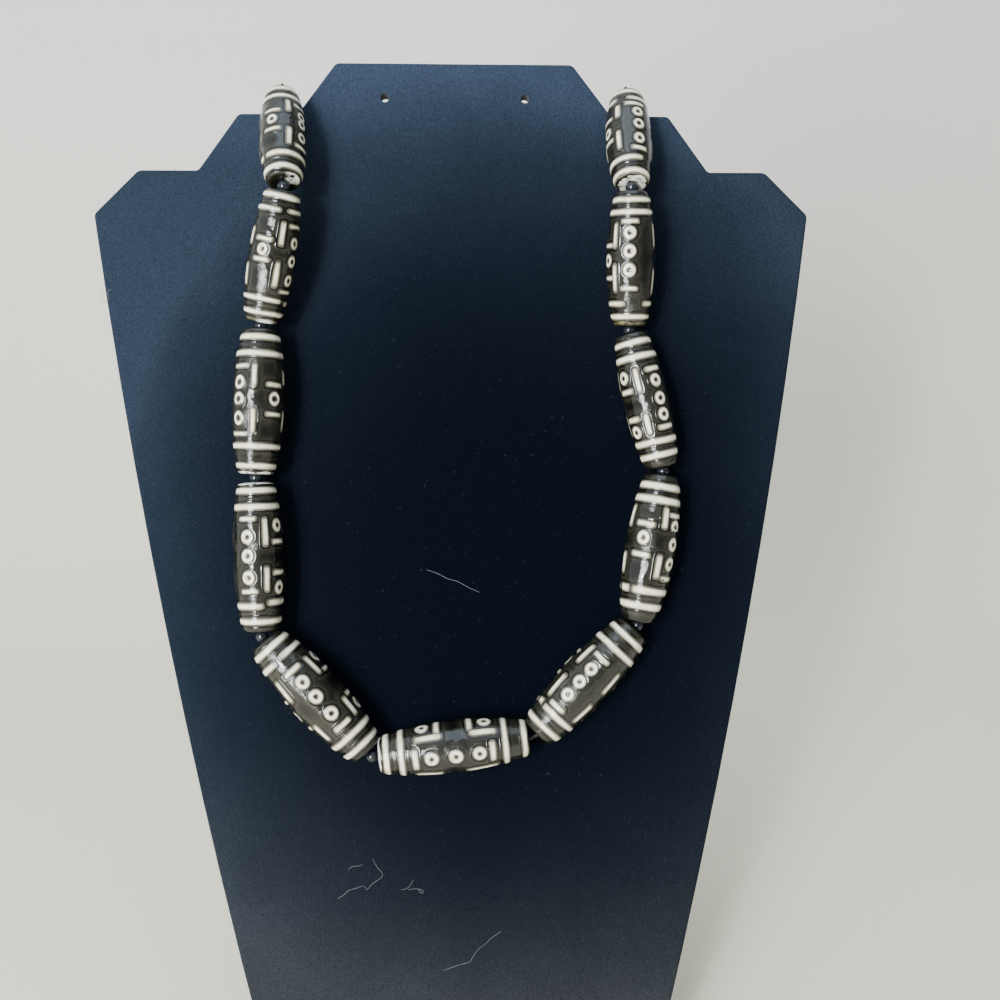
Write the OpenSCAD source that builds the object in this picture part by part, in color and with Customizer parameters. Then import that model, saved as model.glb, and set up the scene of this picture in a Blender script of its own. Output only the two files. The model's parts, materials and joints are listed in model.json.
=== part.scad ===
// Glass bead necklace hung on its stepped display board.
// Millimetres. +Z is up, +X is to the right seen from the front, and the front looks along -Y.
// The origin is the middle of the board's foot, on the surface that it stands on.

/* [Display board] */
// Height of the board, measured up its front
board_h = 290; // [280:1:310]
// Thickness of the board with its velvet
board_t = 4; // [3:0.5:4]
// Lean of the board back from upright, in degrees
lean = 15; // [10:1:18]
// Width of the top edge
top_w = 65; // [62:1:68]
// Width across the shoulders
shoulder_w = 196; // [190:1:204]
// Width of the foot
foot_w = 99; // [90:1:110]
// How far each curved side stands out from a straight line
side_bulge = 3.9; // [2:0.1:6]
// Diameter of the two earring holes
hole_d = 2.4; // [2:0.1:4]
// Distance between the earring holes
hole_spacing = 38.4; // [34:0.1:44]
// Distance of the earring holes below the top edge
hole_drop = 9.7; // [8:0.1:11]

/* [Easel leg] */
// Height up the board where the leg meets its back
leg_top = 185; // [160:1:200]
// Distance from the board's foot back to the front of the leg's foot
leg_reach = 112; // [95:1:130]
// Width of the leg at its top
leg_top_w = 56; // [40:1:70]
// Width of the leg at its foot
leg_foot_w = 72; // [50:1:90]
// Thickness of the leg
leg_t = 3; // [2.5:0.5:5]

/* [Barrel beads] */
// Diameter of a bead's bore
bore_d = 3; // [2.8:0.1:3.1]
// Width of the rounded rim round a bead's end face
rim_w = 0.9; // [0.6:0.1:1.1]
// How far down the side the rounding of the rim reaches
rim_drop = 1; // [0.8:0.1:1.2]
// Height of the trailed glass bands over the bead
band_relief = 0.2; // [0.1:0.05:0.25]
// Width of a band
band_w = 1.9; // [1.4:0.1:2.4]
// Distance of the outer band's middle from the bead's end
outer_band = 2.8; // [2.4:0.1:3.2]
// Distance of the inner band's middle from the bead's end
inner_band = 7.4; // [6.6:0.1:8]

/* [Spacers, thread and clasp] */
// Diameter of a round spacer
spacer_d = 3.4; // [3.2:0.1:3.6]
// Diameter of a spacer's bore
spacer_bore_d = 1.6; // [1.5:0.1:1.8]
// Diameter of the thread
thread_d = 1; // [0.8:0.1:1.1]
// Diameter of the barrel clasp
clasp_d = 6; // [5:0.5:7]
// Gap kept between pieces that touch on the real necklace
play = 0.1; // [0.05:0.01:0.15]

/* [Hidden] */
$fn = 64;

// The steps of the board, one row each from the top down:
// [drop below the top edge, half width inside the step, half width outside it]
steps = [
    [14, 43, 59],
    [29.5, 70, 86]
];
shoulder_drop = 41.5;

// The thread's route round the necklace, one row for each bend or spacer, from the left end of
// the clasp, over the left notch, round the front and back to the clasp:
// [across, drop below the top edge, distance in front of the board's face, 1 where a spacer sits]
route = [
    [-9.5, 23, -11.2, 1],
    [-44.5, 16.5, -11.2, 0],
    [-46.3, 13.5, -4.4, 0],
    [-46.3, 10, 4.2, 1],
    [-44.5, 38.6, 14.5, 1],
    [-52, 73.3, 7.5, 1],
    [-53.8, 113.5, 7.3, 1],
    [-52.7, 155.4, 7.3, 1],
    [-24, 187.7, 7.3, 1],
    [19, 183.5, 7.3, 0],
    [47.3, 154.1, 7.3, 1],
    [54.8, 112.7, 7.3, 1],
    [46.1, 74.7, 7.5, 1],
    [45.9, 38.5, 14.5, 1],
    [46.5, 10.1, 4.2, 1],
    [46.5, 13.5, -4.4, 0],
    [44.5, 16.5, -11.2, 0],
    [9.5, 23, -11.2, 1]
];

// The beads, one row each in their order on the route:
// [largest diameter, diameter of the end nearer the start of the route, diameter of its other end]
bead_sizes = [
    [13, 9, 9],
    [12, 7.8, 8.4],
    [12.2, 8.2, 8.4],
    [13.4, 8.8, 8.8],
    [12.7, 9, 9.2],
    [14, 9.2, 9.2],
    [13.5, 9, 8.8],
    [13.7, 9.2, 9.1],
    [13.5, 8.4, 8.6],
    [11.8, 8.4, 8.2],
    [12.4, 8.4, 8.2],
    [12, 8.4, 8],
    [13, 9, 9]
];
// The stretches, by the row above that they start at, that hold no bead
bare_stretches = [1, 2, 14, 15];
clasp_stretch = 17;

stretches = [for (i = [0:len(route) - 1]) i];
bead_stretches = [for (i = stretches) if (!is_bare(i) && i != clasp_stretch) i];
spacer_places = [for (i = stretches) if (route[i][3] == 1) i];

function two_digits(n) = n < 10 ? str("0", n) : str(n);
bead_names = [for (k = [0:len(bead_stretches) - 1]) str("bead_", two_digits(k + 1))];
spacer_names = [for (k = [0:len(spacer_places) - 1]) str("spacer_", two_digits(k + 1))];

// Places on the route, in the board's own frame, where the front of the board is the XZ plane
function around(i) = (i + len(route)) % len(route);
function place(i) = let (row = route[around(i)]) [row[0], -row[2], board_h - row[1]];
function unit(v) = v / norm(v);
function heading(i) = unit(place(i + 1) - place(i));
function is_bare(i) = len(search(around(i), bare_stretches)) > 0;
function bend_at(i) = is_bare(i - 1) || is_bare(i) ? 0 : acos(min(1, heading(i - 1) * heading(i)));

// A spacer's bore halves the bend, and lines up with the bead where the other side is bare
function bore_heading(i) =
    is_bare(i - 1) ? heading(i) :
    is_bare(i) ? heading(i - 1) :
    unit(heading(i - 1) + heading(i));

// A spacer nests in the mouths of the bores, and at a bend the rims of the end faces keep clear
spacer_r = spacer_d / 2;
bore_r = bore_d / 2;
nest = sqrt(pow(spacer_r + play, 2) - pow(bore_r, 2));
function face_r(end_d) = end_d / 2 - rim_w;
function end_gap(i, end_d) =
    let (
        half_bend = bend_at(i) / 2,
        rims_clear = face_r(end_d) * tan(half_bend) + play / 2 / cos(half_bend)
    )
    route[around(i)][3] == 1 ? max(nest, rims_clear) : rims_clear;

// The thread leaves a spacer straight, and goes further out beside a bare stretch
straight = 0.3;
straight_by_bare = 0.9;
clasp_middle = (place(-1) + place(0)) / 2;
thread_corners = concat(
    [clasp_middle + play * [-1, 0, 0]],
    [
        for (i = stretches)
            let (
                by_bare = is_bare(i - 1) || is_bare(i),
                lead = spacer_r + (by_bare ? straight_by_bare : straight),
                sides = is_bare(i - 1) && is_bare(i) ? [0] : [-1, 1]
            )
            for (side = sides) place(i) + side * lead * bore_heading(i)
    ],
    [clasp_middle + play * [1, 0, 0]]
);

// A sharp turn of the thread is eased into an arc
sharp_turn = 25;
ease = 0.7;
function eased(before, corner, after) =
    let (
        arriving = unit(corner - before),
        leaving = unit(after - corner),
        from = corner - ease * arriving,
        to = corner + ease * leaving
    )
    acos(min(1, arriving * leaving)) < sharp_turn ? [corner] :
    [for (t = [0:0.25:1]) pow(1 - t, 2) * from + 2 * t * (1 - t) * corner + pow(t, 2) * to];
last_corner = len(thread_corners) - 1;
thread_path = [
    for (i = [0:last_corner])
        each i == 0 || i == last_corner ? [thread_corners[i]] :
            eased(thread_corners[i - 1], thread_corners[i], thread_corners[i + 1])
];

// The easel leg runs from the board's back, just clear of it, to the floor
hinge_y = leg_top * sin(lean) + board_t / cos(lean) / 2;
leg_rise = leg_top * cos(lean);
leg_angle = atan((leg_reach - hinge_y) / leg_rise);
leg_length = norm([leg_reach - hinge_y, leg_rise]);

// The outlines run on past the floor and the board's back, which cut them off
overrun = 10;
leg_taper = (leg_foot_w - leg_top_w) / 2 / leg_length;
big = 500;

// Puts what is modelled in the board's own frame where the leaning board is
module on_board() {
    translate([0, -board_t / cos(lean) / 2, 0])
        rotate([-lean, 0, 0])
            children();
}

// Centres its children between two points, with their Z axis along the line
module along(from, to) {
    v = to - from;
    translate((from + to) / 2)
        rotate([0, acos(v.z / norm(v)), atan2(v.y, v.x)])
            children();
}

// The large circle whose arc is the board's right side, from the shoulder to the foot
module side_circle() {
    shoulder = [shoulder_w / 2, board_h - shoulder_drop];
    foot = [foot_w / 2, 0];
    half_chord = norm(shoulder - foot) / 2;
    side_r = (pow(half_chord, 2) + pow(side_bulge, 2)) / (2 * side_bulge);
    inward = unit([foot.y - shoulder.y, shoulder.x - foot.x]);
    translate((shoulder + foot) / 2 + inward * (side_r - side_bulge))
        circle(r = side_r, $fn = 720);
}

// Corners of the right half, from the top edge down, left wide below for the side arcs to cut
right_corners = concat(
    [[top_w / 2, board_h]],
    [for (s = steps, half = [s[1], s[2]]) [half, board_h - s[0]]],
    [[shoulder_w / 2, board_h - shoulder_drop], [shoulder_w / 2 + overrun, -overrun]]
);
left_corners = [for (i = [len(right_corners) - 1:-1:0]) [-right_corners[i].x, right_corners[i].y]];

module board_outline() {
    intersection() {
        polygon(concat(right_corners, left_corners));
        side_circle();
        mirror([1, 0]) side_circle();
    }
}

module below_floor() {
    translate([-big, -big, -big]) cube([2 * big, 2 * big, big]);
}

module velvet_board() {
    color([0.05, 0.06, 0.10])
    difference() {
        on_board()
            difference() {
                translate([0, board_t, 0])
                    rotate([90, 0, 0])
                        linear_extrude(board_t) board_outline();
                for (side = [-1, 1])
                    translate([side * hole_spacing / 2, -board_t, board_h - hole_drop])
                        rotate([-90, 0, 0])
                            cylinder(d = hole_d, h = 3 * board_t);
            }
        below_floor();
    }
}

module leg_outline() {
    foot_half = leg_foot_w / 2 + leg_taper * overrun;
    top_half = leg_top_w / 2 - leg_taper * overrun;
    polygon([
        [-foot_half, -overrun],
        [foot_half, -overrun],
        [top_half, leg_length + overrun],
        [-top_half, leg_length + overrun]
    ]);
}

module easel_leg() {
    color([0.06, 0.06, 0.09])
    difference() {
        translate([0, leg_reach, 0])
            rotate([leg_angle, 0, 0])
                translate([0, leg_t, 0])
                    rotate([90, 0, 0])
                        linear_extrude(leg_t) leg_outline();
        on_board() translate([-big, board_t + play - big, -big]) cube([2 * big, big, 2 * big]);
        below_floor();
    }
}

// The rim's arc is centred on the bead's axis, and runs from the edge of the end face to a
// point that is rim_flare outside the end's radius, near the barrel's arc
rim_flare = 0.15;
function rim_depth(end_d) =
    (pow(end_d / 2 + rim_flare, 2) - pow(face_r(end_d), 2) + pow(rim_drop, 2)) / (2 * rim_drop);

// A part of a half section, from the bore out, between two places along the bead's axis
module strip(z1, z2, out_to) {
    translate([bore_r, min(z1, z2)]) square([out_to - bore_r, abs(z2 - z1)]);
}

// The arc of one half of a barrel, which meets the other half's where both are widest
module barrel_side(half, d, end_d, relief) {
    sag = (d - end_d) / 2;
    barrel_r = (pow(half, 2) + pow(sag, 2)) / (2 * sag);
    translate([d / 2 - barrel_r, 0]) circle(r = barrel_r + relief, $fn = 360);
}

// One half of a drilled barrel bead's half section, above the middle or below it
module half_section(side, half, d, end_d) {
    depth = rim_depth(end_d);
    intersection() {
        strip(0, side * half, d);
        barrel_side(half, d, end_d, 0);
        union() {
            strip(0, side * (half - depth), d);
            translate([0, side * (half - depth)])
                circle(r = norm([face_r(end_d), depth]), $fn = 180);
        }
    }
    intersection() {
        barrel_side(half, d, end_d, band_relief);
        for (from_end = [outer_band, inner_band])
            let (middle = half - from_end)
            strip(side * (middle - band_w / 2), side * (middle + band_w / 2), d);
    }
}

module bead(k) {
    i = bead_stretches[k];
    size = bead_sizes[k];
    from = place(i) + end_gap(i, size[1]) * heading(i);
    to = place(i + 1) - end_gap(i + 1, size[2]) * heading(i);
    half = norm(to - from) / 2;
    color([0.13, 0.13, 0.11])
    on_board() along(from, to)
        rotate_extrude($fn = 96) {
            half_section(-1, half, size[0], size[1]);
            half_section(1, half, size[0], size[2]);
        }
}

module spacer(k) {
    i = spacer_places[k];
    reach = bore_heading(i) * spacer_r;
    color([0.03, 0.03, 0.04])
    on_board() along(place(i) - reach, place(i) + reach)
        difference() {
            sphere(r = spacer_r);
            cylinder(d = spacer_bore_d, h = 2 * spacer_d, center = true);
        }
}

// Rings of corners along the thread, each turned as little as can be from the one before
thread_sides = 8;
last_point = len(thread_path) - 1;
function tangent(i) =
    let (
        arriving = i == 0 ? [0, 0, 0] : unit(thread_path[i] - thread_path[i - 1]),
        leaving = i == last_point ? [0, 0, 0] : unit(thread_path[i + 1] - thread_path[i])
    )
    unit(arriving + leaving);
function thread_rings(i, side_before) =
    i > last_point ? [] :
    let (
        along = tangent(i),
        side = unit(side_before - (side_before * along) * along),
        other = cross(along, side),
        ring = [
            for (j = [0:thread_sides - 1])
                let (turn = 360 * j / thread_sides)
                thread_path[i] + thread_d / 2 * (cos(turn) * side + sin(turn) * other)
        ]
    )
    concat(ring, thread_rings(i + 1, side));

module thread() {
    n = thread_sides;
    walls = [
        for (i = [0:last_point - 1], j = [0:n - 1])
            let (
                a = i * n + j,
                b = i * n + (j + 1) % n
            )
            each [[a, a + n, b + n], [a, b + n, b]]
    ];
    start_cap = [for (j = [0:n - 1]) j];
    end_cap = [for (j = [n - 1:-1:0]) last_point * n + j];
    color([0.05, 0.05, 0.05])
    on_board()
        polyhedron(thread_rings(0, [0, 1, 0]), concat(walls, [start_cap, end_cap]));
}

module clasp() {
    i = len(route) - 1;
    clasp_gap = sqrt(pow(spacer_r + play, 2) - pow(spacer_bore_d / 2, 2));
    from = place(i) + clasp_gap * heading(i);
    to = place(i + 1) - clasp_gap * heading(i);
    color([0.70, 0.70, 0.72])
    on_board() along(from, to)
        difference() {
            cylinder(d = clasp_d, h = norm(to - from), center = true);
            cylinder(d = spacer_bore_d, h = 2 * norm(to - from), center = true);
        }
}

velvet_board();
easel_leg();
thread();
clasp();
for (k = [0:len(bead_names) - 1])
    bead(k);
for (k = [0:len(spacer_names) - 1])
    spacer(k);
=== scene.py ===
"""A necklace of trailed glass barrel beads on a thread, hung over a leaning velvet display board."""
import json
import math

import bpy
import numpy as np
from mathutils import Matrix, Vector

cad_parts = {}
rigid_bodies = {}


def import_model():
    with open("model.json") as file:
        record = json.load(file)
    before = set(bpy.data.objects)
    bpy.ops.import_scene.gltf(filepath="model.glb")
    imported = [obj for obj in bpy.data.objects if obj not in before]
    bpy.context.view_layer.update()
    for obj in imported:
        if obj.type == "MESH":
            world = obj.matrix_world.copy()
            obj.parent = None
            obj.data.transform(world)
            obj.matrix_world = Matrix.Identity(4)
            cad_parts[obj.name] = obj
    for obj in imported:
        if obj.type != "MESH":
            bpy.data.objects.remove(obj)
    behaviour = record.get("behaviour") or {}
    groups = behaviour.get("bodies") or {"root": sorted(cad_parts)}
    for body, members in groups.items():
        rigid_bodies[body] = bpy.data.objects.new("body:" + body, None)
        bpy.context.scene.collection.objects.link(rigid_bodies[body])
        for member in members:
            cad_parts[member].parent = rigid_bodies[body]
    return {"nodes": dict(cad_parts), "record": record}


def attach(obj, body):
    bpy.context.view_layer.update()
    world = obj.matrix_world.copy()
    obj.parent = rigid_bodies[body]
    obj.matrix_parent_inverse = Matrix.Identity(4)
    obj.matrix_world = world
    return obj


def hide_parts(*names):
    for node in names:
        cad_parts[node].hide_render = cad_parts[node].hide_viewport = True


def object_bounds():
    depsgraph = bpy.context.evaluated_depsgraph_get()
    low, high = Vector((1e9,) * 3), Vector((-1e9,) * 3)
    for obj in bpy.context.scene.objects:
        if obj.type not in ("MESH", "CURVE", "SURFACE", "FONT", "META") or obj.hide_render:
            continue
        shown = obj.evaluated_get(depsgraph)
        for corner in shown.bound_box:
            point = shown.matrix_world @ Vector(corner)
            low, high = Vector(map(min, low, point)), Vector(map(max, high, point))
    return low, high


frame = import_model()
nodes = frame["nodes"]
cad_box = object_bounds()


# The viewpoint: a short telephoto held square to the face of the board, a little above the middle of the
# necklace and turned a few degrees to the right.
board_lean = math.radians(15)
eye = Vector((-0.00158, -0.223218, 0.235253))
turn_right = 0.0462
tip_clockwise = 0.0108

view = bpy.data.cameras.new("view")
view.lens = 36
view.sensor_width = 36
camera = bpy.data.objects.new("view", view)
bpy.context.scene.collection.objects.link(camera)
camera.matrix_world = (Matrix.Translation(eye) @ Matrix.Rotation(math.pi / 2 - board_lean, 4, "X")
                       @ Matrix.Rotation(-turn_right, 4, "Y") @ Matrix.Rotation(-tip_clockwise, 4, "Z"))
bpy.context.scene.camera = camera


# The display board is a stepped panel of stiff card. Velvet is stretched over its front and wrapped round its
# edges, and black paper is pasted over the turned-in hem at the back. It has two punched holes for earrings.
velvet_black = (0.0003, 0.0015, 0.0047)
# The next three colours are painted sheen: the velvet drawn lighter away from its middle, greyer at the
# bottom and bluer at the top.
velvet_sheen_navy = (0.0222, 0.0325, 0.0515)
velvet_bottom_sheen = (0.0300, 0.0335, 0.0375)
velvet_top_sheen = (0.0350, 0.0520, 0.0860)
velvet_fleck = (0.050, 0.060, 0.075)
velvet_sheen = (0.35, 0.5, 0.9)
# Between which heights the painted sheen fades out at the bottom and fades in at the top, and the middle
# and the half size of the oval outside which the velvet is painted lighter as painted sheen, all in metres.
# The power says how fast the painted sheen rises outside it.
bottom_sheen_below = (0.03, 0.12)
top_sheen_above = (0.252, 0.279)
sheen_oval_middle = (0.0124, 0.149)
sheen_oval_reach = (0.108, 0.1225)
sheen_rise_power = 4
# How many features a metre the brushing, the pile and the flecks have, and how deep the pile is
brushed_grain = 22
pile_grain = 2600
fleck_grain = 1100
pile_depth = 0.0005
velvet_edge_round = 0.0011
corner_turn = math.radians(40)
facing_back = 0.999
smooth_turn = math.radians(35)
hem_w = 0.006
paper_t = 0.00012
punch_r = 0.0013
punch_depth = 0.012
hole_reach = 0.004
paper_black = (0.010, 0.010, 0.011)
paper_grey = (0.022, 0.022, 0.024)
card_grey = (0.020, 0.024, 0.030)
card_pale = (0.075, 0.085, 0.100)
back = Vector((0, math.cos(board_lean), -math.sin(board_lean)))
earring_holes = [Vector(m["pos_m"]) for m in frame["record"]["mounts"] if m["kind"] == "bore"]


def merged_copy(node, name):
    """A piece with the node's own shape, its triangles joined and its flat faces made whole"""
    bpy.ops.object.select_all(action="DESELECT")
    piece = bpy.data.objects.new(name, nodes[node].data.copy())
    bpy.context.scene.collection.objects.link(piece)
    bpy.context.view_layer.objects.active = piece
    piece.select_set(True)
    piece.data.materials.clear()
    bpy.ops.object.mode_set(mode="EDIT")
    bpy.ops.mesh.select_all(action="SELECT")
    bpy.ops.mesh.remove_doubles(threshold=1e-5)
    bpy.ops.mesh.dissolve_limited(angle_limit=math.radians(0.5))
    bpy.ops.mesh.normals_make_consistent(inside=False)
    bpy.ops.mesh.select_all(action="DESELECT")
    bpy.ops.object.mode_set(mode="OBJECT")
    return piece


def pick(piece, what, test):
    """Selects the faces, edges or points that pass the test, and goes into edit mode"""
    bpy.ops.object.select_all(action="DESELECT")
    bpy.context.view_layer.objects.active = piece
    piece.select_set(True)
    bpy.ops.object.mode_set(mode="EDIT")
    bpy.context.tool_settings.mesh_select_mode = (what == "verts", what == "edges", what == "faces")
    bpy.ops.mesh.select_all(action="DESELECT")
    bpy.ops.object.mode_set(mode="OBJECT")
    for part in {"verts": piece.data.vertices, "edges": piece.data.edges, "faces": piece.data.polygons}[what]:
        part.select = test(part)
    bpy.ops.object.mode_set(mode="EDIT")


def edge_turns(piece):
    """The angle between the two faces at each edge, in the order of the edges"""
    facing = {}
    for face in piece.data.polygons:
        for key in face.edge_keys:
            facing.setdefault(key, []).append(face.normal)
    pairs = [facing[edge.key] for edge in piece.data.edges]
    return [pair[0].angle(pair[1]) if len(pair) == 2 else 0 for pair in pairs]


def use(piece, kind, **settings):
    """Adds a modifier with these settings and applies it"""
    bpy.ops.object.select_all(action="DESELECT")
    bpy.context.view_layer.objects.active = piece
    piece.select_set(True)
    modifier = piece.modifiers.new(kind.lower(), kind)
    for name, value in settings.items():
        setattr(modifier, name, value)
    bpy.ops.object.modifier_apply(modifier=modifier.name)


def settle(piece, slot, *stands_for):
    """Says which body the piece moves with and the solid that it stands for; its finish is not used"""
    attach(piece, "root")
    if stands_for:
        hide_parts(*stands_for)


def new_material(name):
    """A material with its nodes and its links"""
    material = bpy.data.materials.new(name)
    material.use_nodes = True
    return material, material.node_tree.nodes, material.node_tree.links


def grain(material, coords, scale, detail=3, stretch=(1, 1, 1)):
    """Noise at so many features a metre on the piece itself"""
    tree = material.node_tree
    mapping = tree.nodes.new("ShaderNodeMapping")
    mapping.inputs["Scale"].default_value = stretch
    tree.links.new(coords, mapping.inputs["Vector"])
    noise = tree.nodes.new("ShaderNodeTexNoise")
    noise.inputs["Scale"].default_value = scale
    noise.inputs["Detail"].default_value = detail
    tree.links.new(mapping.outputs["Vector"], noise.inputs["Vector"])
    return noise.outputs["Fac"]


def spread(material, value, low, high, to_low=0.0, to_high=1.0):
    """The value stretched from low..high to to_low..to_high"""
    ramp = material.node_tree.nodes.new("ShaderNodeMapRange")
    ramp.inputs["From Min"].default_value = low
    ramp.inputs["From Max"].default_value = high
    ramp.inputs["To Min"].default_value = to_low
    ramp.inputs["To Max"].default_value = to_high
    material.node_tree.links.new(value, ramp.inputs["Value"])
    return ramp.outputs["Result"]


def blend(material, share, first, second):
    """A colour between two colours or colour sockets"""
    tree = material.node_tree
    mix = tree.nodes.new("ShaderNodeMix")
    mix.data_type = "RGBA"
    tree.links.new(share, mix.inputs["Factor"])
    # The node's colour sockets are its inputs 6 and 7 and its output 2.
    for socket, colour in ((mix.inputs[6], first), (mix.inputs[7], second)):
        if isinstance(colour, tuple):
            socket.default_value = (*colour, 1)
        else:
            tree.links.new(colour, socket)
    return mix.outputs[2]


def rough_up(material, height, depth, strength=1.0):
    """Gives the shader a bump of that depth in metres"""
    tree = material.node_tree
    bump = tree.nodes.new("ShaderNodeBump")
    bump.inputs["Distance"].default_value = depth
    bump.inputs["Strength"].default_value = strength
    tree.links.new(height, bump.inputs["Height"])
    tree.links.new(bump.outputs["Normal"], tree.nodes["Principled BSDF"].inputs["Normal"])


def object_coords(material):
    """Each point's place on the piece itself, in metres"""
    return material.node_tree.nodes.new("ShaderNodeTexCoord").outputs["Object"]


velvet, parts, links = new_material("velvet")
coords = object_coords(velvet)
brushed = grain(velvet, coords, brushed_grain, 5)
pile = grain(velvet, coords, pile_grain, 2)
# Painted sheen: the velvet is drawn lighter outside an oval round the necklace, unevenly along the brushing.
centred = parts.new("ShaderNodeMapping")
centred.inputs["Scale"].default_value = (1 / sheen_oval_reach[0], 0, 1 / sheen_oval_reach[1])
centred.inputs["Location"].default_value = (-sheen_oval_middle[0] / sheen_oval_reach[0], 0, -sheen_oval_middle[1] / sheen_oval_reach[1])
links.new(coords, centred.inputs["Vector"])
outward = parts.new("ShaderNodeVectorMath")
outward.operation = "LENGTH"
links.new(centred.outputs["Vector"], outward.inputs[0])
sheen_rise = parts.new("ShaderNodeMath")
sheen_rise.operation = "POWER"
sheen_rise.inputs[1].default_value = sheen_rise_power
links.new(outward.outputs["Value"], sheen_rise.inputs[0])
uneven = parts.new("ShaderNodeMath")
uneven.operation = "MULTIPLY_ADD"
links.new(sheen_rise.outputs[0], uneven.inputs[0])
links.new(spread(velvet, brushed, 0.3, 0.7, 0.75, 1.2), uneven.inputs[1])
links.new(spread(velvet, pile, 0.5, 0.75, 0, 0.04), uneven.inputs[2])
place = parts.new("ShaderNodeSeparateXYZ")
links.new(coords, place.inputs["Vector"])
# Painted sheen: towards the bottom the lighter velvet turns greyer.
sheen_colour = blend(velvet, spread(velvet, place.outputs["Z"], *bottom_sheen_below), velvet_bottom_sheen, velvet_sheen_navy)
# Painted sheen: near the top edge the velvet turns a lighter blue.
sheen_colour = blend(velvet, spread(velvet, place.outputs["Z"], *top_sheen_above), sheen_colour, velvet_top_sheen)
velvet_and_sheen = blend(velvet, uneven.outputs[0], velvet_black, sheen_colour)
velvet_and_sheen = blend(velvet, spread(velvet, pile, 0.35, 0.65, 0.45, 0), velvet_and_sheen, velvet_black)
flecks = spread(velvet, grain(velvet, coords, fleck_grain, 2), 0.69, 0.80, 0, 0.35)
velvet_and_sheen = blend(velvet, flecks, velvet_and_sheen, velvet_fleck)
shader = parts["Principled BSDF"]
links.new(velvet_and_sheen, shader.inputs["Base Color"])
shader.inputs["Roughness"].default_value = 0.95
shader.inputs["Specular IOR Level"].default_value = 0.05
shader.inputs["Sheen Weight"].default_value = 0.03
shader.inputs["Sheen Roughness"].default_value = 0.35
shader.inputs["Sheen Tint"].default_value = (*velvet_sheen, 1)
rough_up(velvet, pile, pile_depth)

paper, parts, links = new_material("black_paper")
coords = object_coords(paper)
shader = parts["Principled BSDF"]
links.new(blend(paper, grain(paper, coords, 900), paper_black, paper_grey), shader.inputs["Base Color"])
links.new(spread(paper, grain(paper, coords, 70), 0.3, 0.7, 0.62, 0.8), shader.inputs["Roughness"])
rough_up(paper, grain(paper, coords, 1500), 0.00008)

raw_card, parts, links = new_material("raw_card")
coords = object_coords(raw_card)
links.new(blend(raw_card, grain(raw_card, coords, 1800), card_grey, card_pale),
          parts["Principled BSDF"].inputs["Base Color"])
parts["Principled BSDF"].inputs["Roughness"].default_value = 0.9

board = merged_copy("velvet_board", "display_board")
turns = edge_turns(board)


def outer_edge(edge):
    """Whether the edge is a corner of the panel and not the rim of a hole"""
    middle = (board.data.vertices[edge.vertices[0]].co + board.data.vertices[edge.vertices[1]].co) / 2
    from_hole = min((middle - hole).length for hole in earring_holes)
    return turns[edge.index] > corner_turn and from_hole > hole_reach


pick(board, "edges", outer_edge)
bpy.ops.mesh.bevel(offset=velvet_edge_round, segments=4, affect="EDGES")
bpy.ops.object.mode_set(mode="OBJECT")
bpy.ops.object.shade_smooth_by_angle(angle=smooth_turn)
board.data.materials.append(velvet)
board.data.materials.append(raw_card)
for face in board.data.polygons:
    offsets = [face.center - hole for hole in earring_holes]
    face.material_index = int(min((off - back * off.dot(back)).length for off in offsets) < punch_r)
settle(board, "velvet", "velvet_board")

lining = merged_copy("velvet_board", "back_paper")
pick(lining, "faces", lambda face: face.normal.dot(back) < facing_back)
bpy.ops.mesh.delete(type="FACE")
bpy.ops.object.mode_set(mode="OBJECT")
pick(lining, "verts", lambda v: min((v.co - h).length for h in earring_holes) < hole_reach)
bpy.ops.mesh.dissolve_verts()
bpy.ops.object.mode_set(mode="OBJECT")
pick(lining, "faces", lambda face: True)
bpy.ops.mesh.dissolve_limited(angle_limit=math.radians(1))
bpy.ops.mesh.inset(thickness=hem_w)
bpy.ops.mesh.select_all(action="INVERT")
bpy.ops.mesh.delete(type="FACE")
bpy.ops.object.mode_set(mode="OBJECT")
use(lining, "SOLIDIFY", thickness=paper_t, offset=1)
punches = []
for hole in earring_holes:
    bpy.ops.object.select_all(action="DESELECT")
    bpy.ops.mesh.primitive_cylinder_add(vertices=32, radius=punch_r, depth=punch_depth, location=hole,
                                        rotation=(math.pi / 2 - board_lean, 0, 0))
    punches.append(bpy.context.object)
    use(lining, "BOOLEAN", object=punches[-1], operation="DIFFERENCE")
for punch in punches:
    bpy.data.objects.remove(punch)
lining.data.materials.append(paper)
settle(lining, "black_card")


# Stray lint clings to the pile: thin pale fibres that curl over it. Each one's path is how far right of the
# board's middle it runs and how far down the slope from the top edge, in millimetres.
lint_r = 0.000055
lint_height = 0.00015
lint_dark = (0.05, 0.06, 0.07)
lint_pale = (0.20, 0.22, 0.23)
lint_paths = [
    [(-34.4, 228.1), (-32.5, 227.3), (-31.7, 225.9), (-29.2, 225.6), (-27.8, 224.8), (-26.7, 225.1),
     (-26.5, 226.5), (-25.1, 224.3), (-22.9, 223.2), (-21.8, 222.1), (-22.3, 221.2), (-23.7, 219.9),
     (-24.8, 217.4)],
    [(-17.1, 226.2), (-15.2, 226.2), (-13.8, 223.7)],
    [(-15.2, 226.3), (-12.7, 225.9), (-10.8, 226.7), (-11.1, 227.6), (-12.2, 227.0), (-12.2, 226.2)],
    [(-5.9, 248.7), (-0.9, 247.0), (1.5, 246.8), (2.1, 245.4), (4.0, 242.7), (5.7, 242.1), (6.8, 240.5),
     (10.1, 238.5)],
    [(-31.4, 220.4), (-30.3, 219.3), (-28.9, 219.6), (-27.6, 219.1)],
    [(-95.6, 62.6), (-96.0, 64.2), (-95.2, 65.4), (-94.0, 65.0), (-93.7, 63.6), (-94.8, 62.7), (-93.2, 62.0)],
    [(-9.2, 138.9), (-5.6, 140.0), (-3.7, 141.6), (-0.9, 141.9), (1.8, 143.8), (5.1, 145.2)],
]
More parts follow.
